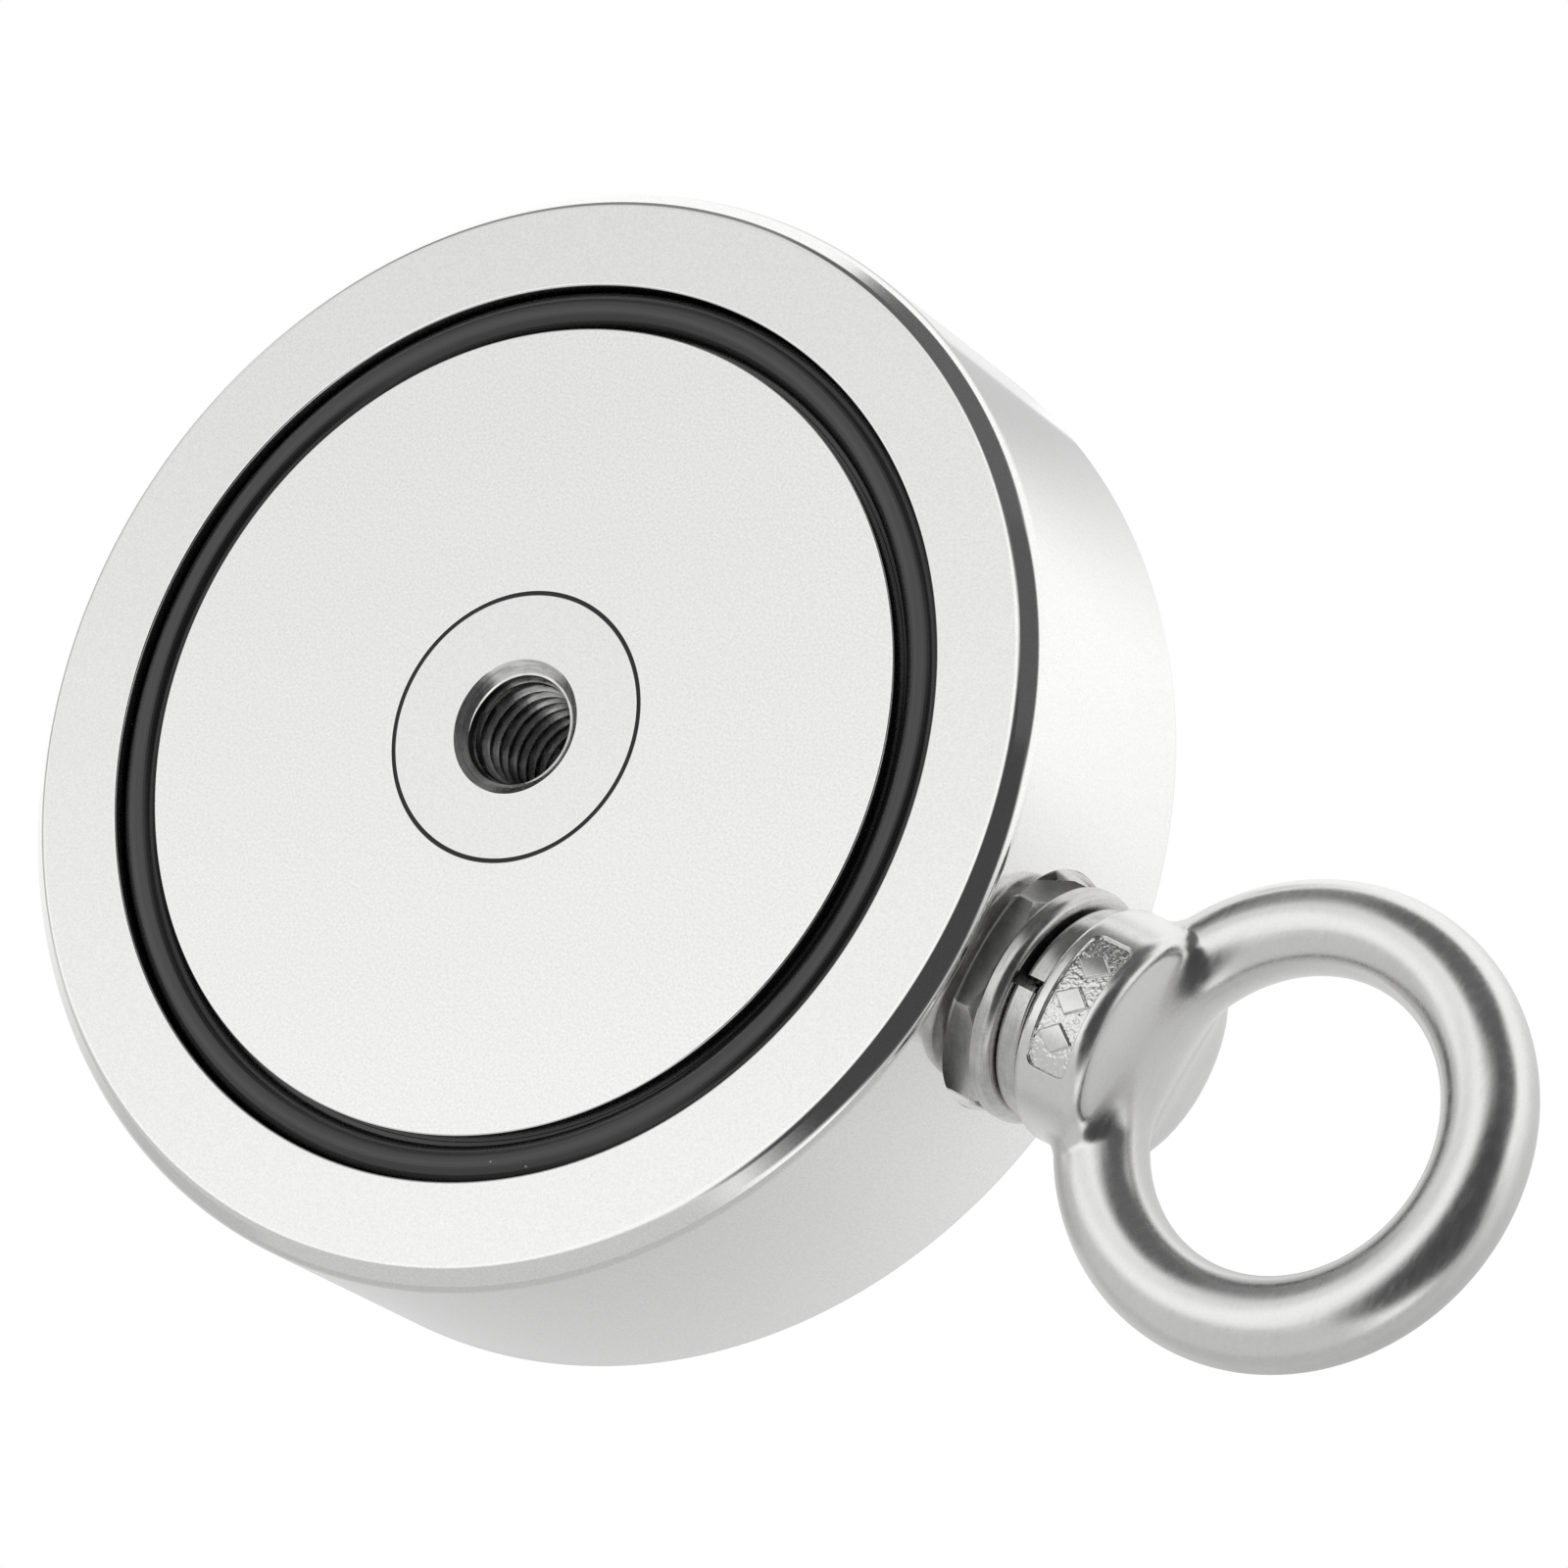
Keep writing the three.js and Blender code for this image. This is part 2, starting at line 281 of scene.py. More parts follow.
def outline(name, points):
    """A chain of edges through [radius, height] points in the XZ plane, pulled out one by one."""
    clear_selection()
    bpy.ops.mesh.primitive_plane_add(size=MM, location=(0, 0, 0))
    piece = bpy.context.object
    piece.name = name
    bpy.ops.object.mode_set(mode="EDIT")
    bpy.ops.mesh.select_mode(type="VERT")
    bpy.ops.mesh.select_all(action="SELECT")
    bpy.ops.mesh.merge(type="CENTER")
    bpy.ops.transform.translate(value=(points[0][0], 0, points[0][1]))
    for (r0, h0), (r1, h1) in zip(points, points[1:]):
        step = (r1 - r0, 0, h1 - h0)
        bpy.ops.mesh.extrude_vertices_move(TRANSFORM_OT_translate={"value": step})
    bpy.ops.object.mode_set(mode="OBJECT")
    return piece


def held(points):
    """Adds a point close to both ends of each long straight stretch, so that flats shade flat."""
    kept = [points[0]]
    for (r0, h0), (r1, h1) in zip(points, points[1:]):
        length = hypot(r1 - r0, h1 - h0)
        if length > HOLD_FROM:
            for share in (HOLD / length, 1 - HOLD / length):
                kept.append((r0 + (r1 - r0) * share, h0 + (h1 - h0) * share))
        kept.append((r1, h1))
    return kept


def turned(name, points, sides=ROUND_SIDES):
    """The outline turned all the way round +Z. It closes on itself or starts and ends on the axis."""
    piece = outline(name, held(points))
    make_active(piece)
    bpy.ops.object.mode_set(mode="EDIT")
    bpy.ops.mesh.select_all(action="SELECT")
    bpy.ops.mesh.spin(steps=sides, angle=2 * pi, center=(0, 0, 0), axis=(0, 0, 1))
    bpy.ops.object.mode_set(mode="OBJECT")
    return weld(piece)


def corner(radius, height, round_r, from_deg, to_deg, steps, round_h=None):
    """Points on an arc about [radius, height], from one angle to the other. round_h makes it oval."""
    round_h = round_r if round_h is None else round_h
    turns = [radians(from_deg + (to_deg - from_deg) * i / steps) for i in range(steps + 1)]
    return [(radius + round_r * cos(a), height + round_h * sin(a)) for a in turns]


def softened_chamfer(radius, height, up):
    """Points over a 45 degree chamfer rounded towards the face and, more, towards the wall.
    up is -1 at a foot and +1 at a top."""
    leg, soft, shoulder = POT_CHAMFER, POT_CHAMFER_ROUND, POT_SHOULDER
    wall_reach, face_reach = shoulder * tan(radians(22.5)), soft * tan(radians(22.5))
    near_wall = corner(radius - shoulder, height - up * (leg + wall_reach), shoulder, 0, up * 45, 10)
    near_face = corner(radius - leg - face_reach, height - up * soft, soft, up * 45, up * 90, 6)
    points = near_wall + near_face
    return points if up > 0 else points[::-1]


def thread(name, major, minor, low, high):
    """A right-hand threaded rod along +Z from low to high, wound from the outline of one pitch."""
    crest = THREAD_CREST * THREAD_PITCH
    flank = (THREAD_PITCH - 2 * crest) / 2
    points = [
        (minor, 0),
        (minor, crest),
        (major, crest + flank),
        (major, 2 * crest + flank),
        (minor, THREAD_PITCH),
    ]
    rod = outline(name, points)
    spare = 3
    turns = int((high - low) / THREAD_PITCH) + spare
    settings = dict(axis="Z", angle=2 * pi, screw_offset=THREAD_PITCH, iterations=turns)
    settings.update(steps=THREAD_SIDES, render_steps=THREAD_SIDES, use_merge_vertices=True)
    apply_modifier(rod, "SCREW", **settings)
    settle(rod, Matrix.Translation((0, 0, low - spare / 2 * THREAD_PITCH)))
    weld(rod)
    for height, outward in ((low, -1), (high, 1)):
        bpy.ops.object.mode_set(mode="EDIT")
        bpy.ops.mesh.select_all(action="SELECT")
        bpy.ops.mesh.bisect(
            plane_co=(0, 0, height), plane_no=(0, 0, outward), threshold=1e-9, clear_outer=True
        )
        bpy.ops.mesh.select_all(action="SELECT")
        bpy.ops.mesh.remove_doubles(threshold=WELD)
        bpy.ops.mesh.fill_holes(sides=0)
        bpy.ops.object.mode_set(mode="OBJECT")
    return weld(rod)


# Places: the pot's axis at its foot, its rear and front faces, and the bolt's axis
ON_POT = Matrix.Translation((AXIS_X, 0, 0))
ON_REAR = ON_POT @ Matrix.Rotation(pi, 4, "X")
ON_FRONT = Matrix.Translation((AXIS_X, 0, POT_HEIGHT))
ON_BOLT = Matrix.Translation((0, 0, BOLT_HEIGHT))
ALONG_BOLT = ON_BOLT @ Matrix.Rotation(pi / 2, 4, "Y")
# The whole bolt is turned a little about its own axis, so that the eye isn't quite level
BOLT_TILT = ON_BOLT @ Matrix.Rotation(RING_TILT, 4, "X") @ Matrix.Translation((0, 0, -BOLT_HEIGHT))


# --- Pot ---------------------------------------------------------------------------------------

def make_pot():
    """The turned pot: a pocket in each face, the bush's hole, and a spot face tapped for the bolt."""
    r, h, edge = POT_RADIUS, POT_HEIGHT, POT_POCKET_EDGE
    bore = BUSH_RADIUS + FIT_GAP
    top_floor = h - POCKET_DEPTH
    points = [
        *corner(POCKET_RADIUS + edge, edge, edge, 180, 270, 4),
        *softened_chamfer(r, 0, -1),
        *softened_chamfer(r, h, 1),
        *corner(POCKET_RADIUS + edge, h - edge, edge, 90, 180, 4),
        (POCKET_RADIUS, top_floor),
        (bore, top_floor),
        (bore, POCKET_DEPTH),
        (POCKET_RADIUS, POCKET_DEPTH),
        (POCKET_RADIUS, edge),
    ]
    pot = settle(turned("pot", points), ON_POT)
    floor = nut_low.x - FIT_GAP
    outside = AXIS_X + POT_RADIUS + SPOT_FACE_RUN_OUT
    spot = [
        (0, floor),
        (SPOT_FACE_RADIUS, floor),
        (SPOT_FACE_RADIUS, outside),
        (0, outside),
    ]
    cut(pot, settle(turned("spot_face", spot, CUTTER_SIDES), ALONG_BOLT))
    # a whole pitch deeper than the bolt's tip, so that the two threads lie in step
    hole_end = bolt_low.x - THREAD_PITCH
    tap = thread("side_tap", SIDE_TAP_MAJOR, SIDE_TAP_MINOR, hole_end, floor + TAP_RUN_OUT)
    cut(pot, settle(tap, ALONG_BOLT))
    return smooth(pot, degrees=30)


# --- Magnets, bush and seals -------------------------------------------------------------------

def make_magnet(name, place):
    """A ring magnet hanging down from its face at height 0, with lightly broken edges."""
    low = -POCKET_DEPTH + BOND_SPACE
    edge = MAGNET_EDGE
    points = [
        (HAIRLINE_RADIUS, low),
        (MAGNET_RADIUS, low),
        *corner(MAGNET_RADIUS - edge, -edge, edge, 0, 90, 4),
        *corner(HAIRLINE_RADIUS + HAIRLINE_EDGE, -HAIRLINE_EDGE, HAIRLINE_EDGE, 90, 180, 4),
        (HAIRLINE_RADIUS, low),
    ]
    return smooth(settle(turned(name, points), place))


def make_seal(name, place):
    """A round rubber cord pressed into the groove, its crown just under the face."""
    inner, outer = MAGNET_RADIUS + GROOVE_GAP, POCKET_RADIUS - GROOVE_GAP
    half, rise = SEAL_HALF, SEAL_RISE
    middle = outer - half
    shelf = -SEAL_RECESS - rise
    foot = -SEAL_RECESS - (seal_high.z - seal_low.z)
    points = [
        (inner, foot),
        (outer, foot),
        *corner(middle, shelf, half, 0, 180, 24, rise),
        (inner, shelf),
        (inner, foot),
    ]
    return smooth(settle(turned(name, points), place), degrees=60)


def make_hairline(name, place):
    """Resin in the joint round the bush, spread a little over its two broken edges."""
    top = -HAIRLINE_SUNK
    low = top - HAIRLINE_DEPTH
    spread = HAIRLINE_EDGE
    inner, outer = BUSH_RADIUS + HAIRLINE_GAP, HAIRLINE_RADIUS - HAIRLINE_GAP
    points = [
        (inner, low),
        (outer, low),
        (outer, top - spread),
        (outer + spread, top),
        (inner - spread, top),
        (inner, top - spread),
        (inner, low),
    ]
    return smooth(settle(turned(name, points), place))


def make_bush():
    """A sleeve tapped right through, with a countersunk mouth at each end."""
    h, edge, bore = POT_HEIGHT, HAIRLINE_EDGE, THREAD_MINOR
    mouth, entry, ledge = BUSH_MOUTH_RADIUS, BUSH_ENTRY_RADIUS, BUSH_LEDGE_RADIUS
    lip, first_crest = BUSH_LIP, BUSH_FIRST_CREST
    depth = mouth - entry
    ledge_drop = 0.02 * MM
    points = [
        (bore, first_crest),
        (ledge, depth + ledge_drop),
        (entry, depth),
        (mouth, lip),
        (mouth + lip, 0),
        *corner(BUSH_RADIUS - edge, edge, edge, -90, 0, 4),
        *corner(BUSH_RADIUS - edge, h - edge, edge, 0, 90, 4),
        (mouth + lip, h),
        (mouth, h - lip),
        (entry, h - depth),
        (ledge, h - depth - ledge_drop),
        (bore, h - first_crest),
        (bore, first_crest),
    ]
    bush = settle(turned("bush", points, SMALL_SIDES), ON_POT)
    tap = thread("bush_tap", BUSH_TAP_MAJOR, BUSH_TAP_MINOR, -TAP_RUN_OUT, h + TAP_RUN_OUT)
    cut(bush, settle(tap, ON_POT))
    return smooth(bush, degrees=30)


# --- Nut and washers ---------------------------------------------------------------------------

def make_lock_nut():
    """A thin hexagonal nut, its corners turned down at both faces."""
    corner_radius = NUT_FLATS / sqrt(3)
    face_radius = NUT_FLATS / 2 * NUT_FACE_SHARE
    length = nut_high.x - nut_low.x
    clear_selection()
    bpy.ops.mesh.primitive_cylinder_add(
        vertices=6, radius=corner_radius, depth=length, location=(0, 0, length / 2)
    )
    nut = bpy.context.object
    nut.name = "hex_nut"
    settle(nut)
    chamfer = (corner_radius - face_radius) * tan(radians(30))
    bore, mouth = NUT_BORE, NUT_BORE + NUT_MOUTH
    blank = [
        (bore, NUT_MOUTH),
        (mouth, 0),
        (face_radius, 0),
        (corner_radius, chamfer),
        (corner_radius, length - chamfer),
        (face_radius, length),
        (mouth, length),
        (bore, length - NUT_MOUTH),
        (bore, NUT_MOUTH),
    ]
    cut(nut, turned("nut_blank", blank, SMALL_SIDES), "INTERSECT")
    apply_modifier(
        nut, "BEVEL", width=NUT_EDGE, segments=3, limit_method="ANGLE", angle_limit=radians(25)
    )
    seat = Matrix.Translation((0, 0, nut_low.x))
    turn = Matrix.Rotation(pi / 2 + NUT_TURN, 4, "Z")
    settle(nut, BOLT_TILT @ ALONG_BOLT @ seat @ turn)
    smooth(nut, degrees=30)
    return apply_modifier(nut, "WEIGHTED_NORMAL", keep_sharp=True)


def make_flat_washer():
    """A punched washer, rolled over on one side and with a small burr on the other."""
    bore, outer = 5.25 * MM, 10 * MM
    low, high = flat_low.x, flat_high.x
    burr, roll = 0.3 * MM, 0.95 * MM
    points = [
        (bore, low),
        *corner(outer - burr, low + burr, burr, -90, 0, 5),
        *corner(outer - roll, high - roll, roll, 0, 90, 10),
        (bore, high),
        (bore, low),
    ]
    return smooth(settle(turned("flat_washer_disc", points, SMALL_SIDES), ALONG_BOLT))


def make_spring_washer():
    """A square bar wound once round the shank with a small rise, and cut at a slant."""
    bore, outer = 5.3 * MM, 9.1 * MM
    rise = 0.5 * MM
    thick = spring_high.x - spring_low.x - rise
    split, split_at = radians(7), radians(-5.5)
    steps = 120
    back, edge = 0.6 * MM, 0.3 * MM
    half = thick / 2
    points = [
        (bore, -half),
        *corner(outer - back, -half + back, back, -90, 0, 8),
        *corner(outer - edge, half - edge, edge, 0, 90, 4),
        (bore, half),
        (bore, -half),
    ]
    bar = outline("split_washer", points)
    settings = dict(axis="Z", angle=2 * pi - split, screw_offset=rise, iterations=1)
    settings.update(steps=steps, render_steps=steps)
    apply_modifier(bar, "SCREW", **settings)
    weld(bar)
    bpy.ops.object.mode_set(mode="EDIT")
    bpy.ops.mesh.select_all(action="DESELECT")
    bpy.ops.mesh.select_non_manifold()
    bpy.ops.mesh.edge_face_add()
    bpy.ops.mesh.select_all(action="SELECT")
    bpy.ops.mesh.normals_make_consistent(inside=False)
    bpy.ops.object.mode_set(mode="OBJECT")
    # the outline starts on local +X, which ALONG_BOLT turns down to -Z
    turn = Matrix.Rotation(pi - split_at - split / 2, 4, "Z")
    settle(bar, ALONG_BOLT @ Matrix.Translation((0, 0, spring_low.x + half)) @ turn)
    return smooth(bar, degrees=30)


# --- Eye bolt ----------------------------------------------------------------------------------

def eye_field(points):
    """How far each point lies outside the casting: a ring and a collar joined by a fillet."""
    x, y, z = points[:, 0], points[:, 1], points[:, 2] - BOLT_HEIGHT
    ring = np.hypot(np.hypot(x - RING_CENTRE_X, y) - RING_RADIUS, z) - RING_TUBE
    along = x - (COLLAR_SEAT + COLLAR_THICKNESS / 2)
    edge = np.where(along > 0, COLLAR_TOP_EDGE, COLLAR_SEAT_EDGE)
    beside = np.hypot(y, z) - (COLLAR_RADIUS - edge)
    beyond = np.abs(along) - (COLLAR_THICKNESS / 2 - edge)
    outside = np.hypot(np.maximum(beside, 0), np.maximum(beyond, 0))
    collar = np.minimum(np.maximum(beside, beyond), 0) + outside - edge
    # the fillet grows from nothing at the seat, so that the seat stays flat
    grown = np.clip((x - COLLAR_SEAT - FILLET_START) / (FILLET_FULL - FILLET_START), 0, 1)
    # and is widest at the foot of the ring's middle, under the load
    inward = np.clip((FILLET_SPREAD - np.abs(y)) / FILLET_SPREAD, 0, 1)
    full = FILLET + (FILLET_MIDDLE - FILLET) * inward * (2 - inward)
    fillet = np.maximum(full * grown * grown * (3 - 2 * grown), FILLET_LEAST)
    near = np.clip(1 - np.abs(ring - collar) / fillet, 0, 1)
    return np.minimum(ring, collar) - near * near * fillet / 4


def draw_onto(piece, field, rounds=5):
    """Moves every vertex straight onto the surface where the field is nought."""
    mesh = piece.data
    points = np.empty(len(mesh.vertices) * 3)
    mesh.vertices.foreach_get("co", points)
    points = points.reshape(-1, 3)
    step = 0.01 * MM
    least_slope = 0.25
    for _ in range(rounds):
        here = field(points)
        slope = np.empty_like(points)
        for axis in range(3):
            nudge = np.zeros(3)
            nudge[axis] = step
            slope[:, axis] = (field(points + nudge) - field(points - nudge)) / (2 * step)
        steepness = np.maximum((slope**2).sum(axis=1), least_slope)
        points -= (here / steepness)[:, None] * slope
    mesh.vertices.foreach_set("co", points.ravel())
    mesh.update()


def panel_depth(around, along):
    """Depth of the stippled panel at a place on the collar's side, measured from its middle."""
    outer = min(PANEL_ROUND, PANEL_WIDTH)
    du = abs(around) - (PANEL_LENGTH - outer)
    dv = abs(along) - (PANEL_WIDTH - outer)
    edge = min(max(du, dv), 0) + hypot(max(du, 0), max(dv, 0)) - outer
    inside = min(max(-edge / PANEL_WALL, 0), 1)
    if inside <= 0:
        return 0
    raised = 0
    for middle in PADS:
        lozenge = abs(around - middle) / PAD_HALF + abs(along) / PAD_REACH
        raised = max(raised, min(max((1 - lozenge) * PAD_SLOPE, 0), 1))
    where = Vector((around, along, 0)) / STIPPLE_SIZE
    stipple = noise.noise(where) + 0.6 * noise.noise(where * 2.1)
    floor = PANEL_DEPTH + STIPPLE_HEIGHT * stipple
    return inside * (floor * (1 - raised) + PAD_DEPTH * raised)


def press_panel(piece):
    """Divides the collar's side finely under the panel and presses the panel into it."""
    middle_x = COLLAR_SEAT + PANEL_MIDDLE
    for face in piece.data.polygons:
        c = face.center
        z = c.z - BOLT_HEIGHT
        around = (atan2(c.y, z) - PANEL_TURN) * COLLAR_RADIUS
        on_side = abs(hypot(c.y, z) - COLLAR_RADIUS) < PANEL_FACES_WITHIN
        in_length = abs(around) < PANEL_LENGTH + PANEL_MARGIN
        in_width = abs(c.x - middle_x) < PANEL_WIDTH + PANEL_MARGIN
        face.select = on_side and in_length and in_width
    make_active(piece)
    bpy.ops.object.mode_set(mode="EDIT")
    bpy.ops.mesh.select_mode(type="FACE")
    bpy.ops.mesh.subdivide(number_cuts=PANEL_CUTS)
    # outlines are drawn out by their vertices, so the choice of faces isn't left on
    bpy.ops.mesh.select_mode(type="VERT")
    bpy.ops.object.mode_set(mode="OBJECT")
    for vertex in piece.data.vertices:
        x, y, z = vertex.co.x, vertex.co.y, vertex.co.z - BOLT_HEIGHT
        radius = hypot(y, z)
        if abs(radius - COLLAR_RADIUS) > PANEL_POINTS_WITHIN or abs(x - middle_x) > PANEL_WIDTH:
            continue
        around = (atan2(y, z) - PANEL_TURN) * COLLAR_RADIUS
        if abs(around) > PANEL_LENGTH:
            continue
        scale = (radius - panel_depth(around, x - middle_x)) / radius
        vertex.co = (x, y * scale, BOLT_HEIGHT + z * scale)


def make_eye():
    """The cast ring and collar, run together by a fillet, with the panel pressed into its side."""
    clear_selection()
    bpy.ops.mesh.primitive_torus_add(
        major_radius=RING_RADIUS, minor_radius=RING_TUBE, major_segments=128, minor_segments=40,
        location=(RING_CENTRE_X, 0, BOLT_HEIGHT),
    )
    ring = bpy.context.object
    ring.name = "eye"
    settle(ring)
    seat, top = COLLAR_SEAT, COLLAR_SEAT + COLLAR_THICKNESS
    low_edge, high_edge = COLLAR_SEAT_EDGE, COLLAR_TOP_EDGE
    collar_points = [
        (0, seat),
        *corner(COLLAR_RADIUS - low_edge, seat + low_edge, low_edge, -90, 0, 6),
        *corner(COLLAR_RADIUS - high_edge, top - high_edge, high_edge, 0, 90, 8),
        (0, top),
    ]
    collar = settle(turned("collar", collar_points, CUTTER_SIDES), ALONG_BOLT)
    cut(ring, collar, "UNION")
    apply_modifier(ring, "REMESH", mode="VOXEL", voxel_size=EYE_GRID)
    draw_onto(ring, eye_field)
    press_panel(ring)
    settle(ring, BOLT_TILT)
    return smooth(ring, degrees=60)


def make_shank():
    """The threaded shank, its tip chamfered and its root run up into the collar."""
    tip, root = bolt_low.x, COLLAR_SEAT + SHANK_ROOT
    rod = thread("shank", SHANK_MAJOR, THREAD_MINOR, tip, root)
    settle(rod, ALONG_BOLT)
    blank = [
        (0, tip),
        (THREAD_MINOR - SHANK_TIP_STEP, tip),
        (THREAD_MAJOR, tip + SHANK_TIP_CHAMFER),
        (THREAD_MAJOR, root),
        (0, root),
    ]
    cut(rod, settle(turned("shank_blank", blank, CUTTER_SIDES), ALONG_BOLT), "INTERSECT")
    settle(rod, BOLT_TILT)
    return smooth(rod, degrees=30)


# --- Finishes ----------------------------------------------------------------------------------

class Signal:
    """A value that changes over a surface: a node's output that arithmetic works on."""

    def __init__(self, paint, socket):
        self.paint = paint
        self.socket = socket

    def calculate(self, operation, first, second):
        return self.paint.add("ShaderNodeMath", {"operation": operation}, {0: first, 1: second})

    def __add__(self, other):
        return self.calculate("ADD", self, other)

    def __sub__(self, other):
        return self.calculate("SUBTRACT", self, other)

    def __mul__(self, other):
        return self.calculate("MULTIPLY", self, other)

    def __rsub__(self, other):
        return self.calculate("SUBTRACT", other, self)

    def __pow__(self, other):
        return self.calculate("POWER", self, other)

    def __abs__(self):
        return self.calculate("ABSOLUTE", self, 0)

    def over(self, other):
        """The larger of the two."""
        return self.calculate("MAXIMUM", self, other)

    def turn_from(self, other):
        """The angle from the other's direction round to this one's."""
        return self.calculate("ARCTAN2", self, other)

    def rise(self, low, high):
        """0 up to low, 1 from high on, and smooth between."""
        inputs = {"Value": self, "From Min": low, "From Max": high}
        return self.paint.add("ShaderNodeMapRange", {"interpolation_type": "SMOOTHSTEP"}, inputs)


def away(first, second):
    """How far a place is from the axis that both distances are measured from."""
    return (first * first + second * second) ** 0.5


def across(x, y, direction):
    """How far a place lies along a direction in the table's plane."""
    return x * direction[0] + y * direction[1]


class Paint:
    """The nodes of one material or of the studio's surroundings."""

    def __init__(self, owner):
        owner.use_nodes = True
        self.tree = owner.node_tree
        self.tree.nodes.clear()

    def add(self, kind, settings=None, inputs=None, output=0):
        node = self.tree.nodes.new(kind)
        for name, value in (settings or {}).items():
            setattr(node, name, value)
        for name, value in (inputs or {}).items():
            if isinstance(value, Signal):
                self.tree.links.new(value.socket, node.inputs[name])
            else:
                node.inputs[name].default_value = value
        return Signal(self, node.outputs[output]) if len(node.outputs) else node

    def place(self):
        return self.add("ShaderNodeTexCoord", output="Object")

    def parts(self, vector):
        node = self.add("ShaderNodeSeparateXYZ", inputs={0: vector}).socket.node
        return [Signal(self, socket) for socket in node.outputs]

    def vector(self, x, y, z):
        return self.add("ShaderNodeCombineXYZ", inputs={0: x, 1: y, 2: z})

    def noise(self, where, scale, detail=2.0, roughness=0.5):
        inputs = {"Vector": where, "Scale": scale, "Detail": detail, "Roughness": roughness}
        return self.add("ShaderNodeTexNoise", inputs=inputs)

    def cells(self, where, scale):
        return self.add("ShaderNodeTexVoronoi", inputs={"Vector": where, "Scale": scale})

    def mix(self, factor, first, second):
        """One colour into the other. The node's colour sockets share their names, so they go by number."""
        settings = {"data_type": "RGBA"}
        return self.add("ShaderNodeMix", settings, {0: factor, 6: first, 7: second}, output=2)

    def bump(self, height, distance):
        inputs = {"Height": height, "Distance": distance, "Strength": 1.0}
        return self.add("ShaderNodeBump", inputs=inputs)


def grey(tone, warmth=0.0):
    return (tone * (1 + warmth), tone, tone * (1 - warmth), 1)


def finish_with(name, fill):
    """A material whose Principled sockets fill() works out from the paint."""
    material = bpy.data.materials.new(name)
    paint = Paint(material)
    surface = paint.add("ShaderNodeBsdfPrincipled", inputs=fill(paint))
    paint.add("ShaderNodeOutputMaterial", inputs={"Surface": surface})
    return material


def nickel(tone, roughness, grain_size, grain):
    """Bright nickel plate: a fine even grain, faint cloudiness and a slightly uneven gloss."""

    def fill(paint):
        where = paint.place()
        fine = paint.noise(where, 1 / grain_size, 2, 0.6)
        cloud = paint.noise(where, 55, 3)
        shade = (fine - 0.5) * grain + (cloud - 0.5) * 0.05 + 0.5
        dark, light = grey(tone - PLATE_SPREAD, NICKEL_WARMTH), grey(tone + PLATE_SPREAD, NICKEL_WARMTH)
        return {
            "Metallic": 1.0,
            "Base Color": paint.mix(shade, dark, light),
            "Roughness": (fine - 0.5) * 0.05 + (cloud - 0.5) * 0.05 + roughness,
            "Normal": paint.bump(fine, PLATE_GRAIN),
        }

    return fill


def cast_steel(paint):
    """Tumbled cast stainless: soft long scuffs, small dents and pits."""
    where = paint.place()
    soft = paint.noise(where, 260, 3)
    fine = paint.noise(where, 4200, 2, 0.6)
    drawn_out = paint.add("ShaderNodeMapping", inputs={"Vector": where, "Scale": (1, 0.25, 1)})
    scuffs = paint.noise(drawn_out, 2400, 3)
    pits = paint.cells(where, 900).rise(0.02, 0.16)
    shade = (soft - 0.5) * 0.45 + (scuffs - 0.5) * 0.55 + (fine - 0.5) * 0.45 + 0.5
    height = soft * 0.6 + scuffs * 0.36 + fine * 0.22 + pits * 0.25
    return {
        "Metallic": 1.0,
        "Base Color": paint.mix(shade, grey(0.72, CAST_WARMTH), grey(0.90, CAST_WARMTH)),
        "Roughness": (soft - 0.5) * 0.08 + (scuffs - 0.5) * 0.2 + 0.245,
        "Normal": paint.bump(height, CAST_GRAIN),
    }


def turned_steel(paint, gloss=0.24, dark=0.40, light=0.80):
    """Stainless turned on a lathe: fine rings about the bolt, with stains between them."""
    x, y, z = paint.parts(paint.place())
    z = z - BOLT_HEIGHT
    radius = away(y, z)
    turn = y.turn_from(z)
    rings = paint.noise(paint.vector(x * 9000, radius * 9000, turn * 1.5), 1.0, 2)
    stain = paint.noise(paint.vector(x * 900, radius * 500, turn * 6), 1.0, 3, 0.6)
    specks = paint.noise(paint.vector(x * 4000, radius * 4000, turn * 40), 1.0, 2)
    shade = (rings - 0.5) * 0.8 + (stain - 0.5) * 0.9 + (specks - 0.5) * 0.4 + 0.5
    return {
        "Metallic": 1.0,
        "Base Color": paint.mix(shade, grey(dark, TURNED_WARMTH), grey(light, TURNED_WARMTH)),
        "Roughness": (stain - 0.5) * 0.2 + (rings - 0.5) * 0.1 + gloss,
        "Normal": paint.bump(rings * 0.6 + specks * 0.4, TURNED_GRAIN),
    }


def nut_steel(paint):
    """The turned finish, duller and half hidden under an old film of oil and oxide."""
    finish = turned_steel(paint, 0.36, 0.50, 0.95)
    return {**finish, "Metallic": 0.5}


